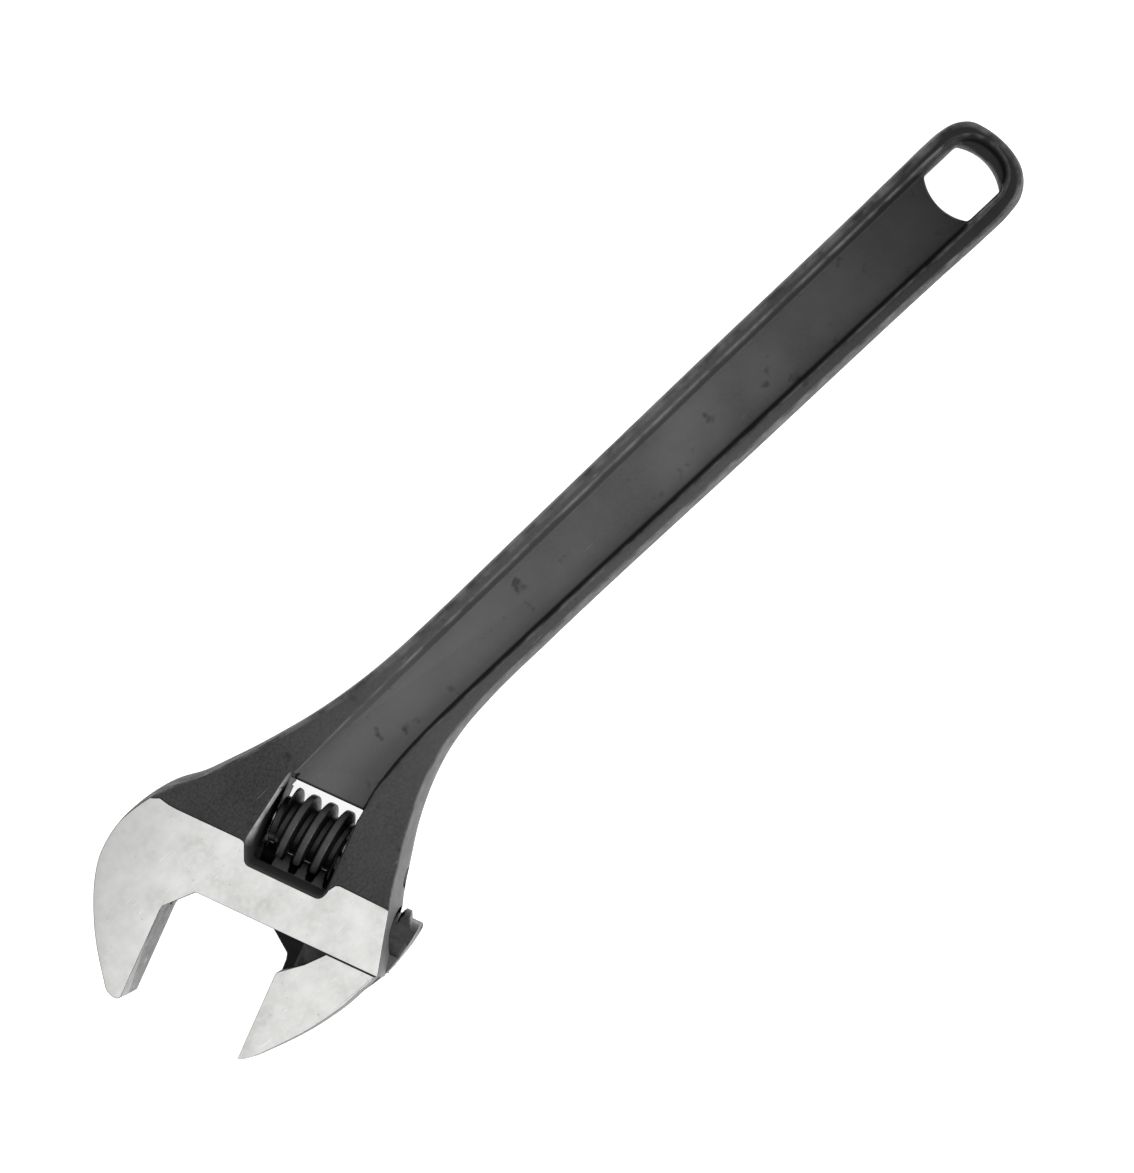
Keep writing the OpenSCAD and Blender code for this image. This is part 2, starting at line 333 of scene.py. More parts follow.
# x, y, lean, edge radius: out along the handle, round its end, and back
top_edge = np.array([
    [12.3, 34.7, 2.3, 1.0], [22.3, 31.4, 2.0, 1.1], [32.5, 28.3, 1.6, 1.3],
    [42.7, 25.6, 1.3, 1.6], [52.8, 23.2, 1.1, 2.0], [62.9, 21.3, 1.0, 2.5],
    [72.9, 19.9, 0.9, 2.9], [83.0, 18.9, 0.9, 3.2], [95.0, 18.3, 0.9, 3.3],
    [115.0, 18.1, 0.9, 3.3], [150.0, 18.5, 0.9, 3.3], [238.9, 19.35, 0.9, 3.3],
    [334.5, 19.9, 0.9, 3.3], [352.0, 20.2, 0.9, 3.3], [362.0, 20.3, 0.9, 3.2],
    [369.0, 20.0, 0.9, 3.0], [375.2, 18.4, 0.9, 2.9], [379.9, 14.7, 0.9, 2.8],
    [382.3, 8.6, 0.9, 2.8], [383.3, 2.4, 0.9, 2.8], [383.2, -3.6, 0.9, 2.8],
    [381.8, -9.6, 0.9, 2.6], [378.8, -14.3, 0.9, 2.3],
    [373.8, -17.9, 0.9, 1.9], [366.4, -19.4, 0.9, 1.5], [354.0, -19.6, 0.9, 1.2],
    [334.5, -19.2, 1.0, 1.1], [238.9, -18.6, 1.0, 1.1], [138.3, -17.9, 1.0, 1.1],
    [108.2, -18.4, 1.1, 1.0], [93.0, -19.9, 1.2, 1.0], [83.0, -22.1, 1.3, 1.0],
    [72.9, -25.7, 1.5, 1.0], [62.9, -30.5, 1.7, 1.0], [57.9, -33.3, 1.8, 1.0],
    [53.8, -35.9, 1.9, 1.0]])
# s, q, lean, edge radius again: down the flank, then the throat and the fixed jaw's face
right_flank = at_head([
    [54.8, 31.2, 2.0, 1.0], [56.7, 22.7, 2.2, 0.9], [59.0, 13.2, 2.7, 0.8],
    [60.8, 7.4, 2.9, 0.5], [62.5, 0.0, 2.8, 0.4], [64.3, -8.0, 2.5, 0.4],
    [65.9, -16.2, 1.9, 0.4]])
working = at_head([[65.9, -16.2, 0, 0.3], [-10.0, -16.2, 0, 0.3]])
relief = at_head([[-10.0, -16.2, 0, 0.3], [-19.0, -25.8, 0, 0.3]])
relief_low = at_head([[-19.0, -25.8, 0, 0.3], [-19.4, -27.4, 0, 0.3]])
fixed_face = at_head([[-19.4, -27.4, 0, 0.3], [-19.4, -62.2, 0, 0.3]])

forged_line = smooth_line(np.vstack([jaw_back, top_edge, right_flank]), 0.9)
stretches = [np.delete(forged_line, [-2, -3], axis=0)]  # leave room at the sharp corner
stretches += [smooth_line(s, 6) for s in (working, relief, relief_low, fixed_face)]
outline = np.vstack([s[:-1, :2] for s in stretches])
lean = np.concatenate([(s[:-1, 2] + s[1:, 2]) / 2 for s in stretches])
edge_r = np.concatenate([(s[:-1, 3] + s[1:, 3]) / 2 for s in stretches])
print(len(outline), "points round the forging")

# %% [markdown]
# The ground band ends in a line across the head with a notch round the worm's
# window. The skin beyond the line is 0.4 mm lower, so the line is a real step.

# %% Step between ground steel and forged skin
band_line = np.array([
    [-36.2, 9.5], [-32.6, 8.7], [-29, 8.45], [-3.0, 8.4], [-1.4, 7.9], [2.6, 2.1], [3.8, 1.6],
    [31.6, 1.5], [32.8, 2.1], [36.2, 7.6], [37.6, 8.1], [45, 7.9], [55.6, 7.65]])
step_width = 0.35
spread_x, spread_y, spread_gap = 3.4, 3.0, 1.4          # the loose points inside the face


def above_band(s, q):
    """How far a point lies beyond the ground band's edge."""
    return q - np.interp(s, [-60, -36, -32, 37, 56, 60], [9.6, 9.6, 8.6, 8.0, 7.9, 8.6])


def fill_top(loop, is_skin):
    """Triangles that fill the loop of the upper edge, with the step as two lines
    step_width apart. Loose points between them keep the triangles even: rows of them,
    every other row moved by half a step. Returns all points, each one's height above
    the mid-plane, and the triangles."""
    change = np.flatnonzero(is_skin != np.roll(is_skin, -1))
    skin_ends = [i if is_skin[i] else (i + 1) % len(loop) for i in change]
    ground_ends = [(i + 1) % len(loop) if is_skin[i] else i for i in change]
    low = at_head(band_line)[:, :2]
    high = at_head(band_line + np.array([0, step_width]))[:, :2]
    x, y = np.meshgrid(np.arange(-70, 384, spread_x), np.arange(-66, 46, spread_y))
    x = x + spread_x / 2 * (np.arange(x.shape[0]) % 2)[:, None]
    spread = np.stack([x.ravel(), y.ravel()], 1)
    spread = spread[inside(spread, loop)]
    lines = np.vstack([smooth_line(low, 1), smooth_line(high, 1)])
    spread = spread[clearance(spread, loop) > spread_gap]
    spread = spread[clearance(spread, lines) > spread_gap]
    points = np.vstack([loop, low, high, spread])
    n, m = len(loop), len(low)
    edges = [(i, (i + 1) % n) for i in range(n)]
    for start, ends in ((n, ground_ends), (n + m, skin_ends)):
        chain = list(range(start, start + m))
        near = sorted(ends, key=lambda e: np.linalg.norm(loop[e] - points[chain[0]]))
        chain = [near[0], *chain, near[1]]
        edges += list(zip(chain[:-1], chain[1:]))
    out, _, faces, origin, _, _ = delaunay_2d_cdt(points.tolist(), edges, [], 0, 1e-5)
    back = [o[0] for o in origin]
    if len(out) != len(points):
        raise ValueError("the step's line crosses the outline")
    faces = np.array([[back[v] for v in f] for f in faces])
    faces = faces[inside(points[faces].mean(axis=1), loop)]
    s, q = head_place(points)
    skin = above_band(s, q) > 0
    skin[:n] = is_skin
    skin[n:n + m] = False
    skin[n + m:n + 2 * m] = True
    in_notch = (q > 1.6) & (s > -1) & (s < 36)
    skin[n + 2 * m:] |= in_notch[n + 2 * m:]
    half = np.where(skin, skin_height(points[:, 0]), ground_half)
    return points, half, faces


def forging_blank():
    """The outline carried up and down from the mid-plane. Each step leans in by a
    growing share of the lean, then turns over the edge on a quarter circle."""
    s, q = head_place(outline)
    is_skin = (above_band(s, q) > 0) & (outline[:, 0] > -40)
    half = np.where(is_skin, skin_height(outline[:, 0]), ground_half)
    radius = (edge_r + np.roll(edge_r, 1)) / 2
    rows, heights = [], []
    for t in np.linspace(0, 1, 6):
        rows.append(inward_shift(outline, lean * t**1.4, -1))
        heights.append((half - radius) * t)
    for a in np.radians([22.5, 45, 67.5, 90]):
        rows.append(inward_shift(outline, lean + edge_r * (1 - np.cos(a)), -1))
        heights.append(half - radius * (1 - np.sin(a)))
    upper = [np.column_stack([r, mid + h]) for r, h in zip(rows, heights)]
    lower = [np.column_stack([r, mid - h]) for r, h in zip(rows, heights)][:0:-1]
    wall = np.array(lower + upper)
    n, count = len(outline), len(wall)
    faces = [tuple(f[::-1]) for f in grid_faces(count, n, True)]
    points, half, top = fill_top(rows[-1], is_skin)
    extra = len(points) - n
    base = count * n
    high = np.where(top < n, top + (count - 1) * n, top - n + base)
    low = np.where(top < n, top, top - n + base + extra)
    area = np.cross(points[top[:, 1]] - points[top[:, 0]], points[top[:, 2]] - points[top[:, 0]])
    flip = area < 0
    high[flip] = high[flip][:, ::-1]
    low[~flip] = low[~flip][:, ::-1]
    faces += [tuple(f) for f in high] + [tuple(f) for f in low]
    inner = np.column_stack([points[n:], mid + half[n:]])
    under = np.column_stack([points[n:], mid - half[n:]])
    return np.vstack([wall.reshape(-1, 3), inner, under]), faces


forging = add_mesh("forging", *forging_blank())
print("blank:", len(forging.data.polygons), "faces")

# %% [markdown]
# ## Cuts in the forging
#
# The die leaves the recess between the rims. The window for the worm, the bore and
# slot for the rack bar, the pin's hole and the hanging hole are cut afterwards.
# Each cut is a closed solid taken away with a Boolean modifier. Drawing the holes
# into the outline would be lighter, but the bore runs sideways through the head and
# meets the window inside it, and a Boolean finds that meeting line by itself.
#
# Where the real edge is rounded, the cutter flares as it leaves the surface, so the
# round is part of the cut.

# %% Helpers for cutters
def rounded(corners, radius, steps=4):
    """A closed loop with each corner replaced by a curve from start through c to end,
    weighted (1 - t)^2, 2t(1 - t) and t^2. It takes at most 0.45 of either side."""
    c = np.asarray(corners, float)
    before, after = np.roll(c, 1, axis=0) - c, np.roll(c, -1, axis=0) - c
    long_before, long_after = (np.linalg.norm(v[:, :2], axis=1)[:, None] for v in (before, after))
    r = np.broadcast_to(np.asarray(radius, float), len(c))[:, None]
    start = c + before / long_before * np.minimum(r, long_before * 0.45)
    end = c + after / long_after * np.minimum(r, long_after * 0.45)
    t = np.linspace(0, 1, steps + 1)[None, :, None]
    return ((1 - t) ** 2 * start[:, None] + 2 * t * (1 - t) * c[:, None]
            + t**2 * end[:, None]).reshape(-1, c.shape[1])


def flip_down(points):
    """The same points on the other side of the mid-plane."""
    points = np.array(points, float)
    points[..., 2] = 2 * mid - points[..., 2]
    return points


def combine(piece, points, faces, operation):
    """Takes a closed solid away from the piece, or adds it, with a Boolean."""
    tool = add_mesh("tool", points, faces)
    mod = piece.modifiers.new("combine", "BOOLEAN")
    mod.operation, mod.solver, mod.object = operation, "EXACT", tool
    keep_result(piece)
    bpy.data.objects.remove(tool)


def cut(piece, points, faces):
    """Takes a closed solid away from the piece."""
    combine(piece, points, faces, "DIFFERENCE")


def join(piece, points, faces):
    """Adds a closed solid to the piece, with no wall left inside."""
    combine(piece, points, faces, "UNION")


def keep_result(piece):
    """Applies the piece's modifiers to its mesh."""
    graph = bpy.context.evaluated_depsgraph_get()
    made = bpy.data.meshes.new_from_object(piece.evaluated_get(graph))
    piece.modifiers.clear()
    old, piece.data = piece.data, made
    bpy.data.meshes.remove(old)
    made.name = piece.name


def outward(loop, amount):
    """A closed anticlockwise loop moved out by amount."""
    return inward_shift(loop, -np.broadcast_to(amount, len(loop)), 1)


def anticlockwise(loop):
    """The loop in the order that keeps its inside on the left."""
    a, b = loop, np.roll(loop, -1, axis=0)
    return loop if np.sum(a[:, 0] * b[:, 1] - b[:, 0] * a[:, 1]) > 0 else loop[::-1]


# %% [markdown]
# The recess has a flat web as its floor. Its wall starts in a small fillet, leans
# out, and turns over into the rim. The foot of the wall is a closed line with the
# wall's width as a third column, and each level of the cutter is that line moved out.

# %% Recess on both sides
recess_foot = smooth_line([
    [31.5, 9.0, 0.8], [46, 9.2, 1.1], [60, 9.2, 1.7], [100, 9.3, 2.5], [200, 10.2, 2.9],
    [300, 11.2, 2.9], [345, 11.7, 2.8], [362, 12.0, 2.6], [369.8, 11.5, 2.5],
    [373.9, 8.5, 2.9], [375.7, 4.4, 3.0], [376.1, 0.4, 3.0], [375.7, -3.6, 3.0],
    [373.9, -7.2, 2.9], [369.8, -10.1, 2.7], [362, -10.6, 2.9], [345, -10.3, 3.4],
    [300, -9.8, 3.9], [200, -9.4, 3.8], [110, -9.5, 2.8], [93.5, -9.8, 2.5],
    [83.4, -10.2, 2.2], [73.4, -10.8, 2.1], [63.4, -11.9, 2.0], [53.4, -13.8, 1.8],
    [43.4, -16.9, 1.6]], 1.6)
# the wall's section: shares of its width, and of its rise from the web to the rim
wall_section = [(0, 0), (0.14, 0.02), (0.3, 0.09), (0.42, 0.2), (0.55, 0.42), (0.68, 0.66),
                (0.78, 0.82), (0.9, 0.935), (1.06, 0.985), (1.28, 1.01)]
above_all = 22                  # cutters end this far above the mid-plane, in free air


def recess_cutter():
    """The foot line carried up: fillet, leaning wall, quarter turn over the rim."""
    foot, width = recess_foot[::-1, :2], recess_foot[::-1, 2]
    rise = mid + skin_height(foot[:, 0]) - (mid + web_half)
    side_width = (width + np.roll(width, -1)) / 2
    loops = [np.column_stack([inward_shift(foot, -side_width * w, 1),
                              mid + web_half + rise * h]) for w, h in wall_section]
    loops.append(np.column_stack([loops[-1][:, :2], np.full(len(foot), mid + above_all)]))
    return loft(loops)


points, faces = recess_cutter()
cut(forging, points, faces)
cut(forging, flip_down(points), [f[::-1] for f in faces])
print("recess cut:", len(forging.data.polygons), "faces")

# %% [markdown]
# The window goes straight through, but its upper mouth slopes open towards the fixed
# jaw and towards the throat, to make room for a thumb on the worm. Below the rack a
# ledge is left, so that the bar runs in a closed bore. Every level of the cutter has
# the same six corners, nearer together or further apart.

# %% Worm window
window_ledge = np.array([[33.1, 9.7], [33.1, 35.9], [3.3, 35.9],
                         [3.3, 11.5], [3.6, 9.3], [32.8, 9.3]])
window_inner = np.array([[33.1, 7.4], [33.1, 35.9], [3.3, 35.9],
                         [3.3, 11.5], [3.6, 7.0], [32.8, 7.0]])
window_mouth = np.array([[33.4, 4.4], [33.3, 36.0], [4.2, 37.9],
                         [-0.4, 8.8], [2.9, 1.7], [32.2, 1.5]])
corner_r = np.array([1.0, 0.6, 0.6, 2.2, 1.2, 1.4])


def window_cutter():
    """Ledge, straight walls, sloping walls up to the mouth, then a flare of a quarter
    turn. Each level is a height, its corners, and how far they are moved out."""
    top, bottom = mid + skin_half, mid - skin_half

    def between(t):
        return window_inner + (window_mouth - window_inner) * t

    stack = [(-6, window_ledge, 0.9), (bottom - 0.4, window_ledge, 0.9),
             (bottom + 0.1, window_ledge, 0.45), (bottom + 0.5, window_ledge, 0.1),
             (bottom + 0.9, window_ledge, 0), (5.0, window_ledge, 0),
             (7.2, window_inner, 0), (mid + 4.2, window_inner, 0), (top - 1.4, between(0.93), 0),
             (top - 0.8, between(0.96), 0.12), (top - 0.35, between(0.98), 0.38),
             (top - 0.08, between(1), 0.75), (top + 0.03, between(1), 1.15),
             (mid + 20, between(1), 1.15)]
    levels = []
    for z, corners, grow in stack:
        loop = rounded(corners, corner_r)
        loop = outward(loop, grow) if grow else loop
        levels.append(np.column_stack([at_head(loop), np.full(len(loop), z)]))
    return loft(levels)


cut(forging, *window_cutter())
print("window cut:", len(forging.data.polygons), "faces")

# %% [markdown]
# The bore is drilled from the sliding jaw's side and ends blind, in the cone a drill
# leaves. The slot below it lets the jaw's neck through.

# %% Bore, slot, pin hole and hanging hole
def turned(profile, q, steps=96):
    """A solid of revolution about a line along the jaw's travel: profile is a list of
    (s, radius), from one end to the other, and may end in a point."""
    profile = np.asarray(profile, float)
    angle = np.linspace(0, 2 * np.pi, steps, endpoint=False)
    s = np.repeat(profile[:, 0], steps)
    r = np.repeat(profile[:, 1], steps)
    a = np.tile(angle, len(profile))
    flat = at_head(np.column_stack([s, q + r * np.cos(a)]))
    return np.column_stack([flat, mid + r * np.sin(a)]).reshape(len(profile), steps, 3)


def turned_solid(profile, q, steps=96):
    """The same as a closed solid's points and faces."""
    return loft(turned(profile, q, steps))


bore_r = 9.58
bore_end = -38.8
drill_cone = np.radians(31)     # between the drill's cutting edge and a square end
bore_gap = 0.4                  # inside the window, so the bar shows a dark gap round it
pin_hole_r = 3.53
slot_half = 5.08
slot_line = rounded([[90, 2], [-31, 2], [-31, throat_q], [-20.4, throat_q - 7.6],
                     [-19.9, throat_q - 9.6], [-18.4, throat_q - 15], [90, throat_q - 15]], 0.4)


def slab(loop, low, high):
    """A loop given in s and q carried straight from one height to another."""
    loop = anticlockwise(at_head(loop))
    return loft([np.column_stack([loop, np.full(len(loop), z)]) for z in (low, high)])


cut(forging, *turned_solid([(bore_end - bore_r * np.tan(drill_cone), 0.02),
                            (bore_end, bore_r), (3.2, bore_r), (3.3, bore_r + bore_gap),
                            (33.1, bore_r + bore_gap), (33.2, bore_r), (90, bore_r)], 0))
cut(forging, *slab(slot_line, mid - slot_half, mid + slot_half))
cut(forging, *turned_solid([(-5.7, pin_hole_r), (54.2, pin_hole_r), (55.6, 3.75),
                            (57.6, 4.4), (75, 4.4)], worm_q, 64))
print("bores cut:", len(forging.data.polygons), "faces")


def hanging_hole():
    """Two bows and two straight sides, with the edges rounded over on both faces."""
    bow = np.radians(np.linspace(-38, 38, 17))
    r = 18.6
    near, far, half_width, off_centre = 349.9, 373.6, 11.65, 0.45
    right = np.column_stack([far - r + r * np.cos(bow), r * np.sin(bow)])
    left = np.column_stack([near + r - r * np.cos(bow), -r * np.sin(bow)])
    corners = np.vstack([right, left])
    corners[:, 1] *= half_width / corners[:, 1].max()
    corners[:, 1] += off_centre
    radius = np.full(len(corners), 0.3)
    radius[[0, 16, 17, 33]] = 1.6
    loop = rounded(corners, radius, 3)
    levels = [np.column_stack([outward(loop, g), np.full(len(loop), mid + z)])
              for z, g in ((0, 0), (3.1, 0), (3.55, 0.12), (3.87, 0.42), (4.04, 0.8), (14, 0.8))]
    levels = np.array(levels)
    return loft(np.concatenate([flip_down(levels[:0:-1]), levels]))


cut(forging, *hanging_hole())
soften(forging, 32)
print("forging:", len(forging.data.polygons), "faces")

# %% [markdown]
# ## The sliding jaw
#
# The sliding jaw is a second forging: a plate as thick as the head, a thin neck that
# passes through the slot, and a round bar cut with rack teeth. The three forms are
# made as closed solids and joined with a Boolean union, so the result is one skin
# with no walls left inside it.

# %% Jaw plate
def wall_rows(loop, lean, edge, half, lean_steps=5):
    """Loops from the mid-plane up to a flat face: the side leans in by a growing
    share of lean, then turns over the edge on a quarter circle of radius edge."""
    rows = [np.column_stack([inward_shift(loop, lean * t**1.3, 1),
                             np.full(len(loop), mid + (half - edge) * t)])
            for t in np.linspace(0, 1, lean_steps)]
    rows += [np.column_stack([inward_shift(loop, lean + edge * (1 - np.cos(a)), 1),
                              np.full(len(loop), mid + half - edge * (1 - np.sin(a)))])
             for a in np.radians([30, 60, 90])]
    return rows


def plate_solid(loop, lean, edge, half):
    """The rows of wall_rows above the mid-plane, and the same rows below it."""
    upper = np.array(wall_rows(loop, lean, edge, half))
    return loft(np.concatenate([flip_down(upper[:0:-1]), upper]))


jaw_curve = smooth_line(np.array([
    [29.24, -65.3, 0], [30.8, -65.1, 0.5], [33.8, -63.3, 0.8], [38.0, -58.9, 0.9],
    [42.8, -53.3, 0.9], [48.4, -46.1, 0.9], [52.4, -40.1, 0.9], [57.6, -30.9, 0.9],
    [60.4, -24.5, 0.9], [62.8, -19.7, 0.9], [63.6, -17.5, 0.9]]), 1.2)
jaw_straight = np.array([[63.4, -16.6, 0], [43.4, -16.6, 0], [37.6, -23.3, 0],
                         [29.5, -30.1, 0], [29.2, -30.8, 0]])
jaw_outline = np.vstack([jaw_curve, jaw_straight])
jaw_lean = (jaw_outline[:, 2] + np.roll(jaw_outline[:, 2], -1)) / 2
jaw = add_mesh("moving_jaw", *plate_solid(at_head(jaw_outline)[:, :2], jaw_lean, 0.3, ground_half))
print("plate:", len(jaw_outline), "points round,", len(jaw.data.polygons), "faces")

# %% [markdown]
# The rack bar is a cylinder whose upper side is milled with slanting grooves. It is
# a grid of stations along the bar and angles round it. At each point the height is
# the lower of two: the cylinder's, and the groove's profile. The stations lean with
# the grooves, so that each groove edge falls on a line of the grid and stays crisp.

# %% Rack bar
rack_phase = 17.74              # where one groove's centre crosses the mid-plane
rack_lean = 0.0937              # how far a groove moves along for each mm upwards
groove_floor, groove_half, groove_slope = 6.15, 1.2, 0.3646
floor_fall = 0.03               # mm for each square mm
bar_start, slant_start = 12.2, 65.6
tip_s, tip_end_s, round_end_s = 5.0, 10.8, 11.1         # the cone, then full radius
# q, s along the slanting end, which lies flush with the jaw's back
end_line = np.array([[-21.0, 62.4], [-18.7, 63.6], [-15.7, 65.1], [-11.7, 66.5],
                     [-7.2, 67.6], [-2.7, 68.6], [1.3, 69.3], [4.3, 69.6], [5.3, 69.4],
                     [6.8, 68.8], [9.5, 66.6]])


def groove_height(u, z):
    """The milled profile over the bar, one groove a pitch: straight flanks and a floor
    that, above the middle, falls away as floor_fall times z squared."""
    off = np.abs((u - rack_phase + pitch / 2) % pitch - pitch / 2)
    floor = groove_floor - floor_fall * np.maximum(z, 0) ** 2
    return floor + np.maximum(off - groove_half, 0) / groove_slope


def rack_bar(steps=120):
    """Stations along the bar lean with the grooves; the last ones ease to the slanting
    end, and rings of falling radius close both ends, a cone at the blind one."""
    part = np.array([-3.5, -2.85, -2.62, -2.45, -1.85, -1.35, -1.25, -1.1, 0,
                     1.1, 1.25, 1.35, 1.85, 2.45, 2.62, 2.85])
    u = (rack_phase + pitch * np.arange(-1, 8)[:, None] + part).ravel()
    u = u[(u > bar_start) & (u < rack_phase + 7 * pitch + 0.1)]
    angle = np.linspace(0, 2 * np.pi, steps, endpoint=False)
    z = bar_r * np.sin(angle)
    q = bar_r * np.cos(angle)
    rows_q = np.minimum(q[None], np.where(q > 0, groove_height(u[:, None], z[None]), bar_r))
    rows_s = u[:, None] + rack_lean * z[None]
    stop = np.interp(rows_q[-1], end_line[:, 0], end_line[:, 1])
    share = np.clip((rows_s - slant_start) / (rows_s[-1] - slant_start), 0, 1)
    rows_s = np.where(rows_s > slant_start, slant_start + share * (stop - slant_start), rows_s)
    core_s = np.interp(0.0, end_line[:, 0], end_line[:, 1])
    rings = [(q * k, np.full(steps, tip_s + (tip_end_s - tip_s) * k), z * k)
             for k in (0.02, 0.5, 0.93, 0.985)]
    rings += [(q, np.full(steps, round_end_s), z)]
    rings += [(row_q, row_s, z) for row_q, row_s in zip(rows_q, rows_s)]
    rings += [(rows_q[-1] * k, stop * k + core_s * (1 - k), z * k) for k in (0.94, 0.5, 0.02)]
    return loft([np.column_stack([at_head(np.column_stack([ring_s, ring_q])), mid + ring_z])
                 for ring_q, ring_s, ring_z in rings])


bar_points, bar_faces = rack_bar()
print("rack bar:", len(bar_faces), "faces, grooves every", pitch, "mm")

# %% [markdown]
# The neck is a slab with the same end as the bar, a little thinner than the slot.

# %% Neck, and the jaw in one skin
neck_half = 5.0
neck_low = [[28.9, -23.6], [29.5, -25.8], [29.7, -30.6], [33.2, -31.8], [55.0, -31.8],
            [60.0, -25.0]]
neck_end = end_line[end_line[:, 0] < 2][:, ::-1]
neck_line = np.vstack([[[18.7, 1.3], [18.7, throat_q]], neck_low, neck_end])


neck_loop = anticlockwise(at_head(rounded(neck_line, 0.5, 2)))
join(jaw, *plate_solid(neck_loop, np.zeros(len(neck_loop)), 0.4, neck_half))
join(jaw, bar_points, bar_faces)
soften(jaw, 30)
print("sliding jaw:", len(jaw.data.polygons), "faces")

# %% [markdown]
# ## The worm
#
# The worm is a left-hand screw of three and a half turns, turned and then blackened.
# Its radius is a function of two things, the place along the axis and the angle round
# it: a slightly crowned crest, and flanks that ease into the crest and the root. A helix swept as a tube
# would need joining to the core; one function of a grid gives both at once.

# %% Worm
worm_low, worm_high = 7.2, 31.9
hub_low, hub_r = 4.45, 9.0      # a plain hub spaces the thread from the window's wall
worm_crest = 14.24              # a crest's place at angle 0
worm_root = 9.5
crest_half, root_from, crown_drop = 1.17, 2.63, 0.16    # root_from: from the crest's middle
pin_r = 3.5
worm_bore_r, pocket_r, pocket_deep = 3.56, 5.0, 9       # the pocket holds the spring


def thread_radius(s, angle):
    """The radius falls from the crest to the root. off is the distance to the nearest
    crest, which moves back by one pitch in one turn because the thread is left-hand."""
    off = np.abs((s - worm_crest + pitch * angle / (2 * np.pi) + pitch / 2) % pitch - pitch / 2)
    crown = crown_drop * (off / crest_half) ** 2
    flank = np.clip((off - crest_half) / (root_from - crest_half), 0, 1)
    drop = worm_r - worm_root
    soft = smoothstep(0, 1, flank) * 0.4 + flank * 0.6
    return worm_r - np.minimum(crown, crown_drop) - soft * (drop - crown_drop)


def worm_grid(rows=132, steps=168):
    """A grid over the outside, a chamfer at each end, flat end faces, and the bore,
    which is wider at the end where the spring sits. The grid closes on itself."""
    angle = np.linspace(0, 2 * np.pi, steps, endpoint=False)
    s = np.linspace(worm_low + 0.25, worm_high - 0.25, rows)
    outer = np.minimum(thread_radius(s[:, None], angle[None]), worm_r - 0.02)
    first, last = outer[0] - 0.3, outer[-1] - 0.3
    rings = [(hub_low + pocket_deep, worm_bore_r), (hub_low + pocket_deep, pocket_r),
             (hub_low + 0.4, pocket_r), (hub_low, pocket_r + 0.4), (hub_low, hub_r - 0.4),
             (hub_low + 0.4, hub_r), (worm_low - 0.3, hub_r), (worm_low, hub_r + 0.1),
             (worm_low, (first + hub_r + 0.1) / 2), (worm_low, first)]
    rings += list(zip(s, outer))
    rings += [(worm_high, last), (worm_high, (last + 4) / 2), (worm_high, 4.0),
              (worm_high - 0.4, worm_bore_r)]
    place = np.array([ring[0] for ring in rings])[:, None]
    radius = np.array([np.broadcast_to(ring[1], (steps,)) for ring in rings])
    flat = at_head(np.column_stack([np.broadcast_to(place, radius.shape).ravel(),
                                    (worm_q + radius * np.cos(angle)).ravel()]))
    return np.column_stack([flat, (mid + radius * np.sin(angle)).ravel()]), len(rings), steps


def closed_grid(count, steps):
    """Faces of a grid whose last ring joins its first, as round a tube's wall."""
    faces = grid_faces(count, steps, True)
    j = np.arange(steps)
    k = (j + 1) % steps
    last = (count - 1) * steps
    return np.vstack([faces, np.stack([last + j, last + k, k, j], -1)])


worm_points, worm_rings, worm_steps = worm_grid()
worm = add_mesh("thumb_worm", worm_points, closed_grid(worm_rings, worm_steps), 40)
print("worm:", len(worm.data.polygons), "faces")

# %% [markdown]
# ## Pin and spring
#
# The pin is a plain turned rod with a screwdriver slot in its outer end, which shows
# in the flank. The spring is a short coil in the pocket at the worm's end, where it
# takes up the play and can't be seen. Both are turned or swept, because a lathe and a
# coiling machine make them that way.

# %% Pin
def slotted_pin():
    """A turned profile with a chamfer at the blind end and a two-step one at the other."""
    profile = [(-4.85, 0.02), (-4.85, 2.9), (-4.25, pin_r), (20, pin_r), (51.6, pin_r),
               (52.0, 3.3), (52.2, 2.9), (52.2, 0.02)]
    return turned_solid(profile, worm_q, 48)


pin = add_mesh("axle_pin", *slotted_pin())
# the slot is 1 mm wide and 1.2 mm deep
cut(pin, *slab([[51.0, worm_q - 5], [54, worm_q - 5], [54, worm_q + 5], [51.0, worm_q + 5]],
               mid - 0.5, mid + 0.5))
soften(pin, 30)

# %% Spring
def coil(start, length, turns, radius, wire, around=12, per_turn=40):
    """A wire of circular section along a helix. The first and last half turns lie
    almost flat, because a spring's ends are closed and ground."""
    t = np.linspace(0, 1, int(turns * per_turn) + 1)
    rise = smoothstep(0, 1, t) * 0.35 + t * 0.65
    turn = 2 * np.pi * turns * t
    middle = np.column_stack([start + wire + (length - 2 * wire) * rise,
                              radius * np.cos(turn), radius * np.sin(turn)])
    outwards = np.column_stack([np.zeros(len(t)), np.cos(turn), np.sin(turn)])
    lengthwise = np.array([1.0, 0, 0])
    a = np.linspace(0, 2 * np.pi, around, endpoint=False)[None, :, None]
    tube = (middle[:, None] + wire * np.cos(a) * outwards[:, None]
            - wire * np.sin(a) * lengthwise)
    flat = at_head(np.column_stack([tube[..., 0].ravel(), worm_q + tube[..., 1].ravel()]))
    points = np.column_stack([flat, mid + tube[..., 2].ravel()])
    return loft(points.reshape(len(t), around, 3))


spring = add_mesh("worm_coil", *coil(3.75, 9.5, 5, 4.2, 0.45), 60)
print("pin and spring:", len(pin.data.polygons), len(spring.data.polygons), "faces")

# %% [markdown]
# ## Worn edges
#
# Black oxide wears off first where a surface turns over quickly. How quickly it turns
# is measured on the mesh itself: at each edge the two faces on it make an angle, and
# a point keeps the largest such angle of the edges that stick out. Points on the big
# flat faces keep none, so the wear stays a thin line and never streaks across a face.

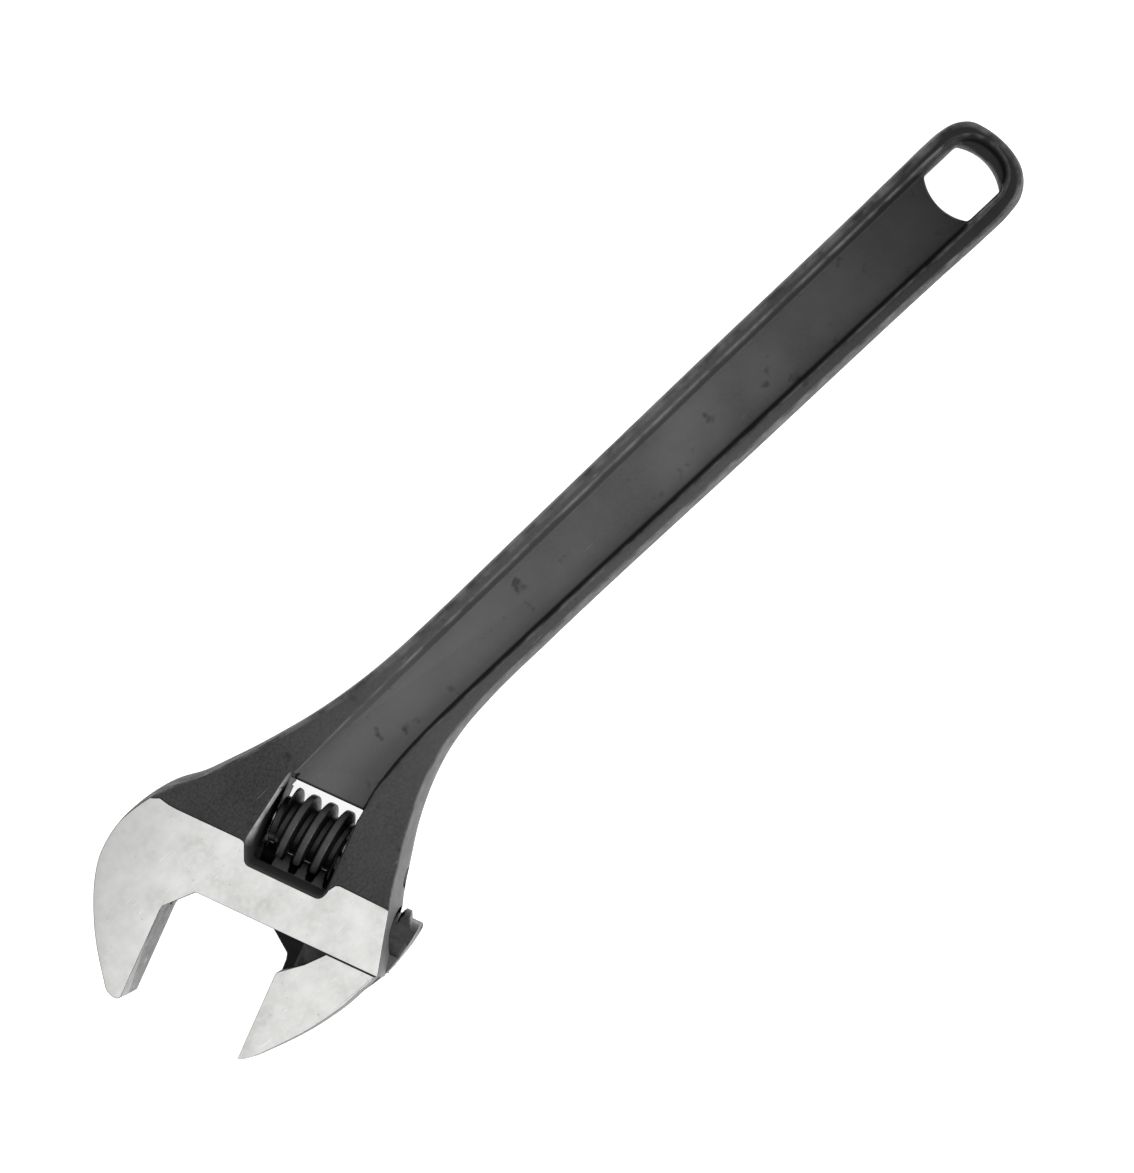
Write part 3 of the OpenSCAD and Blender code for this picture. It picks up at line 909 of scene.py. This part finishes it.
# %% Edge wear as an attribute
def mark_wear(piece, full_turn=20.0):
    """Writes the attribute "wear", 0 to 1: the outward turn at each point, in shares
    of full_turn degrees, and 0 for a point that touches a level face."""
    mesh = piece.data
    normal = read_all(mesh.polygons, "normal", 3)
    centre = read_all(mesh.polygons, "center", 3)
    count = read_all(mesh.polygons, "loop_total", 1, np.int32)
    loop_edge = read_all(mesh.loops, "edge_index", 1, np.int32)
    loop_point = read_all(mesh.loops, "vertex_index", 1, np.int32)
    ends = read_all(mesh.edges, "vertices", 2, np.int32)
    face = np.repeat(np.arange(len(count)), count)
    order = np.argsort(loop_edge, kind="stable")
    pair = face[order].reshape(-1, 2)
    edge = loop_edge[order][::2]
    a, b = pair[:, 0], pair[:, 1]
    turn = np.degrees(np.arccos(np.clip(np.sum(normal[a] * normal[b], axis=1), -1, 1)))
    outward_turn = np.where(np.sum((centre[b] - centre[a]) * normal[a], axis=1) < 0, turn, 0)
    wear = np.zeros(len(mesh.vertices), np.float32)
    for end in (0, 1):
        np.maximum.at(wear, ends[edge, end], outward_turn)
    wear = np.clip(wear / full_turn, 0, 1)
    level = np.abs(normal[:, 2]) > 0.99
    wear[loop_point[level[face]]] = 0
    mesh.attributes.new("wear", "FLOAT", "POINT").data.foreach_set("value", wear)
    return (wear > 0.5).mean()


for piece in (forging, jaw):
    print(piece.name, "worn points:", f"{mark_wear(piece):.0%}")

# %% [markdown]
# ## Finishes
#
# Seven finishes cover the wrench: the black forged skin, the walls of the worm's
# window in painted shade, the black rack, ground steel, milled steel in painted shade,
# the blackened worm, and the steel of the pin and the spring. Each is a small node
# tree that reads Object coordinates, so the grain keeps its real size in millimetres
# on every piece. An image laid over the pieces would need them unwrapped, and its
# grain would stretch where they curve.

# %% Node helpers
def place(tree, kind, values, outlet=0, **settings):
    """Adds one node. values maps a socket's name or number to a plain value or to
    another node's output. Returns the output that outlet names."""
    node = tree.nodes.new("ShaderNode" + kind)
    for name, value in settings.items():
        setattr(node, name, value)
    for name, value in values.items():
        if isinstance(value, bpy.types.NodeSocket):
            tree.links.new(value, node.inputs[name])
        else:
            node.inputs[name].default_value = value
    return node.outputs[outlet]


def grain(tree, size_mm, detail=2.0, stretch=(1, 1, 1), turn=0.0, shift=(0, 0, 0)):
    """Noise whose patches are about size_mm across, longer where stretch is below 1,
    and turned about Z by turn radians."""
    where = place(tree, "TexCoord", {}, "Object")
    where = place(tree, "Mapping", {"Vector": where, "Location": shift,
                                    "Rotation": (0, 0, turn), "Scale": stretch})
    return place(tree, "TexNoise", {"Vector": where, "Scale": 1000 / size_mm,
                                    "Detail": detail}, "Fac")


def ease(tree, value, start, stop, low, high):
    """low where value is at start or before, high at stop or past it, straight between."""
    return place(tree, "MapRange", {"Value": value, 1: start, 2: stop, 3: low, 4: high})


def tint(tree, share, first, second):
    """A colour share of the way from first to second."""
    first, second = (c if isinstance(c, bpy.types.NodeSocket) else (*c, 1)
                     for c in (first, second))
    return place(tree, "Mix", {"Factor": share, 6: first, 7: second}, 2, data_type="RGBA")


def times(tree, *shares):
    """The product of several numbers."""
    product = shares[0]
    for share in shares[1:]:
        product = place(tree, "Math", {0: product, 1: share}, operation="MULTIPLY")
    return product


def run(tree, direction):
    """How far a point lies along a direction in the plane of the table, in metres."""
    where = place(tree, "TexCoord", {}, "Object")
    return place(tree, "VectorMath", {0: where, 1: (*direction, 0)}, "Value",
                 operation="DOT_PRODUCT")


def new_finish(name, metallic, settings):
    """A material with its Principled shader, ready for the parts that vary."""
    material = bpy.data.materials.new(name)
    material.use_nodes = True
    tree = material.node_tree
    shader = tree.nodes["Principled BSDF"]
    shader.inputs["Metallic"].default_value = metallic
    for socket, value in settings.items():
        shader.inputs[socket].default_value = value
    return material, tree, shader


def object_part(tree, axis):
    """One Object coordinate: X, Y or Z, in metres."""
    return place(tree, "SeparateXYZ", {0: place(tree, "TexCoord", {}, "Object")}, axis)


def wire_up(tree, shader, colour, rough, height, depth_mm):
    """Joins colour, roughness and a height map to the shader."""
    tree.links.new(colour, shader.inputs["Base Color"])
    tree.links.new(rough, shader.inputs["Roughness"])
    bump = place(tree, "Bump", {"Height": height, "Strength": 1.0, "Distance": depth_mm / 1000})
    tree.links.new(bump, shader.inputs["Normal"])


# %% [markdown]
# The forged skin is scale left by the fire under a coat of black oxide. It is a dark
# grey with soft patches a few centimetres across, a pebbly grain of about a
# millimetre, and a faint sheen. A metal shader would go too black between lights, so
# it is a dull dark coat that turns to bare steel only where it is worn. Sloping sides
# are painted blacker than level faces, as painted shade, and sides that face along the
# jaw's travel are painted paler, as painted light, so the object's own normal is read:
# its z is 1 on a level face and 0 on an upright one.

# %% Scratches and slopes
def scratches(tree, turn, size_mm, threshold):
    """Thin marks: noise drawn out twelve times in one direction, of which only the
    highest part is kept."""
    return ease(tree, grain(tree, size_mm, 3, (0.08, 1, 1), turn, (0.1 * turn, 0.03, 0)),
                threshold, threshold + 0.06, 0, 1)


def facing(tree, direction):
    """How squarely the surface faces a direction: 1 straight at it, 0 side on."""
    normal = place(tree, "TexCoord", {}, "Normal")
    return place(tree, "VectorMath", {0: normal, 1: direction}, "Value",
                 operation="DOT_PRODUCT")


def size_of(tree, number):
    """The number without its sign."""
    return place(tree, "Math", {0: number}, operation="ABSOLUTE")


def slope_painted_shade(tree):
    """The painted shade of a sloping side: almost black, but painted paler, as painted
    light, on sides that face along the jaw's travel, most of all on the head's flank."""
    # painted light: sides that face along the jaw's travel get a paler grey
    towards = ease(tree, facing(tree, (*along, 0)), 0.25, 0.9, 0, 1)
    pale = ease(tree, object_part(tree, "X"), 0.03, 0.12, 0.12, 0.045)
    return tint(tree, towards, (0.005, 0.005, 0.005), pale)


# %% Coat of the forging
def coat(tree, off_middle):
    """Two greys in patches, greyer along the handle, and greyer still on the floor of
    the recess, which lies within about 5 mm of the mid-plane."""
    patches = ease(tree, grain(tree, 26, 3), 0.35, 0.7, 0, 1)
    colour = tint(tree, patches, (0.014, 0.014, 0.015), (0.030, 0.030, 0.031))
    handle_share = ease(tree, object_part(tree, "X"), 0.02, 0.09, 0, 1)
    colour = tint(tree, times(tree, handle_share, 0.8), colour, (0.062, 0.062, 0.062))
    floor_share = ease(tree, off_middle, 0.0042, 0.0062, 1, 0)
    web = tint(tree, patches, (0.062, 0.062, 0.063), (0.092, 0.092, 0.093))
    web_near = ease(tree, object_part(tree, "X"), 0.07, 0.17, 0.7, 0)
    web = tint(tree, web_near, web, (0.115, 0.115, 0.115))
    return tint(tree, floor_share, colour, web)


def window_shade_block(tree, off_middle):
    """Where the skin is painted nearly black, as painted shade: 1 in a block that holds
    the worm's window and the bore beside it, 0 elsewhere: the product of four soft
    limits, across, up, and at both ends along the jaw's travel."""
    return times(tree, ease(tree, run(tree, across), 0.0363, 0.0370, 1, 0),
                 ease(tree, off_middle, 0.0120, 0.0126, 1, 0),
                 ease(tree, run(tree, along), -0.0015, -0.0005, 0, 1),
                 ease(tree, run(tree, along), 0.0330, 0.0334, 1, 0))


# %% Forged skin
def forged_skin():
    """The coat, with grain, marks and spots over it, blacker towards the handle's end;
    painted shade blackens slopes, the bore and the window; the wear attribute brings in bare steel."""
    material, tree, shader = new_finish("forged_skin", 0.0, {"Specular IOR Level": 0.15})
    off_middle = size_of(tree, place(tree, "Math", {0: object_part(tree, "Z"), 1: mid / 1000},
                                     operation="SUBTRACT"))
    colour = coat(tree, off_middle)
    fine = ease(tree, grain(tree, 1.1, 3), 0.3, 0.75, 0, 1)
    colour = tint(tree, times(tree, fine, 0.35), colour, (0.09, 0.09, 0.09))
    marks = scratches(tree, 0.4, 1.1, 0.71)
    colour = tint(tree, times(tree, marks, 0.22), colour, (0.3, 0.3, 0.3))
    spots = ease(tree, grain(tree, 7, 4, shift=(0.3, 0.1, 0)), 0.64, 0.74, 0, 0.6)
    colour = tint(tree, spots, colour, (0.010, 0.010, 0.010))
    # painted shade: sloping faces are tinted towards the almost black slope grey by their normal
    sloping = ease(tree, size_of(tree, facing(tree, (0, 0, 1))), 0.6, 0.99, 0.9, 0)
    colour = tint(tree, sloping, colour, slope_painted_shade(tree))
    end_share = ease(tree, object_part(tree, "X"), 0.23, 0.36, 0, 0.85)
    colour = tint(tree, end_share, colour, (0.004, 0.004, 0.004))
    # painted shade: the skin in the window and the bore beside it is painted nearly black
    colour = tint(tree, window_shade_block(tree, off_middle), colour, (0.002, 0.002, 0.002))
    worn = place(tree, "Attribute", {}, "Fac", attribute_name="wear")
    broken = ease(tree, grain(tree, 9, 4), 0.38, 0.62, 0.1, 1)
    worn = times(tree, worn, broken)
    colour = tint(tree, times(tree, worn, 0.4), colour, (0.24, 0.24, 0.24))
    rough = ease(tree, grain(tree, 5, 3, shift=(0, 0.2, 0)), 0.3, 0.7, 0.42, 0.6)
    wire_up(tree, shader, colour, rough, grain(tree, 1.1, 4), 0.12)
    return material


# %% [markdown]
# The worm's window is painted nearly black, as painted shade, and so are the grooves
# of the rack, where it is partly real grease. The window's walls get paler towards the
# mouth, where the painted shade lifts, and the long slope on the fixed jaw's side has a
# painted highlight, partly real rubbing by the thumb. On the rack an attribute tells a
# tooth's crest from a groove.

# %% Window walls and rack
def window_wall_shade():
    """Painted shade: black low down, dark grey at the mouth; grey steel on the thumb's edge as a painted
    highlight, partly real rubbing.
    """
    material, tree, shader = new_finish("window_wall_shade", 0.0, {"Specular IOR Level": 0.12})
    height = object_part(tree, "Z")
    # painted shade: the walls are painted black low in the window, lifting to dark grey at the mouth
    colour = tint(tree, ease(tree, height, 0.0195, 0.0270, 0, 1), (0.002, 0.002, 0.002),
                  (0.036, 0.036, 0.036))
    broken = ease(tree, grain(tree, 4, 4), 0.3, 0.6, 0.45, 1)
    # painted highlight, partly real thumb wear: grey steel on the upper slope at the fixed jaw's side
    thumb_wear_and_highlight = times(tree, ease(tree, height, 0.0232, 0.0262, 0, 1), broken,
                   ease(tree, run(tree, along), 0.0025, 0.0045, 1, 0),
                   ease(tree, run(tree, across), 0.0070, 0.0120, 0, 1))
    colour = tint(tree, thumb_wear_and_highlight, colour, (0.3, 0.3, 0.3))
    rough = ease(tree, grain(tree, 3, 3), 0.3, 0.7, 0.35, 0.5)
    wire_up(tree, shader, colour, rough, grain(tree, 1.5, 3), 0.06)
    return material


def rack_black():
    """Black in the grooves, as painted shade that is partly real grease, dark grey where the attribute
    "crest" is 1.
    """
    material, tree, shader = new_finish("rack_black", 0.0, {"Specular IOR Level": 0.2})
    crest = place(tree, "Attribute", {}, "Fac", attribute_name="crest")
    patch = ease(tree, grain(tree, 4, 3), 0.3, 0.7, 0.6, 1)
    # painted shade, partly real grease: the grooves are painted near black
    colour = tint(tree, times(tree, crest, patch), (0.001, 0.001, 0.001), (0.042, 0.042, 0.042))
    rough = ease(tree, grain(tree, 2, 3), 0.3, 0.7, 0.3, 0.45)
    wire_up(tree, shader, colour, rough, grain(tree, 1.0, 2), 0.03)
    return material


# %% [markdown]
# Ground steel is nearly white under a soft light, but never even. It has fine lines
# from the wheel, odd scratches in other directions, cloudy stains where oil has
# dried, and a few pits that the wheel did not reach.

# %% Ground and milled steel
def bright_steel(name, light, dark, rough_low, lines_turn, change):
    """Faint clouds in two sizes, wheel lines, scratches in three directions, pits.
    change takes the tree and the colour so far, and gives the colour to use."""
    material, tree, shader = new_finish(name, 1.0, {})
    cloud = times(tree, ease(tree, grain(tree, 14, 4), 0.3, 0.7, 0, 1),
                  ease(tree, grain(tree, 2.2, 4, shift=(0.4, 0, 0)), 0.2, 0.6, 0.3, 1))
    colour = tint(tree, cloud, light, dark)
    lines = grain(tree, 0.45, 2, (0.05, 1, 1), lines_turn)
    colour = tint(tree, ease(tree, lines, 0.35, 0.65, 0, 0.15), colour, dark)
    marks = scratches(tree, lines_turn + 0.9, 0.8, 0.68)
    for turn, size in ((lines_turn - 0.5, 0.7), (lines_turn + 2.0, 1.0)):
        marks = place(tree, "Math", {0: marks, 1: scratches(tree, turn, size, 0.69)},
                      operation="MAXIMUM")
    colour = tint(tree, times(tree, marks, 0.55), colour, (0.9, 0.9, 0.89))
    pits = ease(tree, grain(tree, 1.3, 2, shift=(0.05, 0.02, 0)), 0.71, 0.78, 0, 0.5)
    colour = change(tree, tint(tree, pits, colour, (0.2, 0.2, 0.19)))
    rough = ease(tree, grain(tree, 4, 4, shift=(0.2, 0, 0)), 0.3, 0.7,
                 rough_low, rough_low + 0.12)
    height = place(tree, "Math", {0: lines, 1: marks}, operation="SUBTRACT")
    wire_up(tree, shader, colour, rough, height, 0.010)
    return material


def fixed_jaw_shade(tree, colour):
    """Painted shade on the fixed jaw: the colour fades to a darker grey along the travel."""
    # painted shade: the steel towards the fixed jaw is tinted darker
    share = ease(tree, run(tree, along), -0.048, -0.012, 0.75, 0)
    return tint(tree, share, colour, (0.45, 0.45, 0.44))


def lighter_lip(tree, colour):
    """The milled face is lighter along its upper lip, more so towards the jaw's tip. The
    border is a straight line on the face: z less 0.545 times q."""
    slope = place(tree, "Math", {0: run(tree, across), 1: -0.545}, operation="MULTIPLY")
    level = place(tree, "Math", {0: object_part(tree, "Z"), 1: slope}, operation="ADD")
    return tint(tree, ease(tree, level, 0.0482, 0.0492, 0, 1), colour, (0.215, 0.215, 0.213))


# %% [markdown]
# The worm is blackened like the skin, but it was turned on a lathe first, so it is
# smoother. Its roots are painted near black as painted shade, and its crests a softer
# grey, partly real rubbing by fingers; the attribute "crest" says where they are. The
# pin and the spring are plain steel with fine rings.

# %% Worm, pin and spring
def blackened_worm():
    """Painted shade makes the roots dark; the crests are greyer with the attribute "crest"."""
    material, tree, shader = new_finish("blackened_worm", 0.0, {"Specular IOR Level": 0.35})
    crest = place(tree, "Attribute", {}, "Fac", attribute_name="crest")
    uneven = ease(tree, grain(tree, 3, 4), 0.3, 0.7, 0.55, 1)
    # painted shade: the roots are painted near black, the crests a softer grey
    colour = tint(tree, times(tree, crest, uneven), (0.004, 0.004, 0.004), (0.045, 0.045, 0.046))
    rough = ease(tree, grain(tree, 2, 3), 0.3, 0.7, 0.3, 0.45)
    wire_up(tree, shader, colour, rough, grain(tree, 0.8, 2), 0.02)
    return material


def turned_steel(name, light, dark):
    """Bright or dull steel with fine rings, drawn as noise squeezed along the axis."""
    material, tree, shader = new_finish(name, 1.0, {})
    rings = grain(tree, 0.6, 2, (1, 0.05, 0.05), -head_turn)
    colour = tint(tree, ease(tree, rings, 0.35, 0.65, 0, 1), dark, light)
    rough = ease(tree, grain(tree, 3, 3), 0.3, 0.7, 0.28, 0.42)
    wire_up(tree, shader, colour, rough, rings, 0.01)
    return material


skin = forged_skin()
ground = bright_steel("ground_steel_face", (0.72, 0.72, 0.705), (0.53, 0.53, 0.515), 0.36,
                      head_turn, fixed_jaw_shade)
# painted shade: the milled steel is given a dark grey, as the jaws' inner faces lie in shade
milled = bright_steel("milled_face", (0.09, 0.09, 0.09), (0.055, 0.055, 0.055), 0.4, 1.2,
                      lighter_lip)
window_black = window_wall_shade()
rack = rack_black()
worm_black = blackened_worm()
pin_steel = turned_steel("turned_pin", (0.45, 0.45, 0.45), (0.25, 0.25, 0.25))
wire_steel = turned_steel("spring_wire", (0.4, 0.38, 0.35), (0.2, 0.19, 0.18))
print(len(bpy.data.materials), "materials")

# %% [markdown]
# Which finish a face has is a question of place. The two outer planes of the head and
# of the jaw plate are ground. The jaws' inner sides and the throat are milled, the
# window's walls carry painted shade, and the upper half of the bar is rack. The rest is skin.

# %% Finishes on the pieces
def face_places(piece):
    """Each face's s and q, its distance from the mid-plane, and its normal's z."""
    centre = read_all(piece.data.polygons, "center", 3) * 1000
    s, q = head_place(centre)
    return s, q, np.abs(centre[:, 2] - mid), read_all(piece.data.polygons, "normal", 3)[:, 2]


def dress(piece, finishes, choice):
    """Puts the finishes in the piece's slots and gives each face the chosen one."""
    piece.data.materials.clear()
    for finish in finishes:
        piece.data.materials.append(finish)
    piece.data.polygons.foreach_set("material_index", choice.astype(np.int32))


s, q, height, up = face_places(forging)
is_ground = (height > skin_half + 0.02) & (np.abs(up) > 0.9)
is_milled = (s > -21) & (s < -9.0) & (q < throat_q - 0.02) & (np.abs(up) < 0.3) & (q > -63)
is_milled |= (np.abs(q - throat_q) < 0.05) & (np.abs(up) < 0.3)
in_window = (s > -2.2) & (s < 34.7) & (q > 0.4) & (q < 39.2) & (np.abs(up) < 0.985)
dress(forging, [skin, ground, milled, window_black],
      np.select([is_ground, is_milled, in_window], [1, 2, 3], 0))
s, q, height, up = face_places(jaw)
is_milled = (np.abs(s - sliding_s) < 0.05) & (q < -30)
is_ground = (height > skin_half) & (np.abs(up) > 0.9)
is_rack = (np.hypot(q, height) < bar_r + 0.01) & (q > 0)
dress(jaw, [skin, ground, milled, rack],
      np.select([is_ground, is_milled, is_rack], [1, 2, 3], 0))
for piece, finish in ((worm, worm_black), (pin, pin_steel), (spring, wire_steel)):
    dress(piece, [finish], np.zeros(len(piece.data.polygons)))


def mark_crests(piece, axis_q, root, crest):
    """The attribute "crest": 0 up to the root radius about the axis at axis_q, and 1
    from the crest radius outwards."""
    points = read_all(piece.data.vertices, "co", 3) * 1000
    radius = np.hypot(head_place(points)[1] - axis_q, points[:, 2] - mid)
    share = smoothstep(root, crest, radius).astype(np.float32)
    piece.data.attributes.new("crest", "FLOAT", "POINT").data.foreach_set("value", share)


mark_crests(worm, worm_q, 12.9, 13.42)
mark_crests(jaw, 0, bar_r - 0.45, bar_r - 0.1)

# %% [markdown]
# ## What each piece stands for
#
# Every imported solid is now stood for by a detailed piece. The forging, the pin and
# the spring stay with the handle, the jaw slides, and the worm turns with its screw.

# %% Bodies
for piece, body, node, slot in (
        (forging, "handle", "body", "forged_black"), (jaw, "jaw", "sliding_jaw", "ground_steel"),
        (worm, "screw", "worm", "worm_black"), (pin, "handle", "worm_pin", "pin_steel"),
        (spring, "handle", "worm_spring", "spring_steel")):
    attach(piece, body)
    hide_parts(node)

# %% Finish
visual_low, visual_high = [list(corner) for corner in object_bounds()]
for corner in (visual_low, visual_high):
    print("visual box corner, mm:", [round(1000 * v, 1) for v in corner])
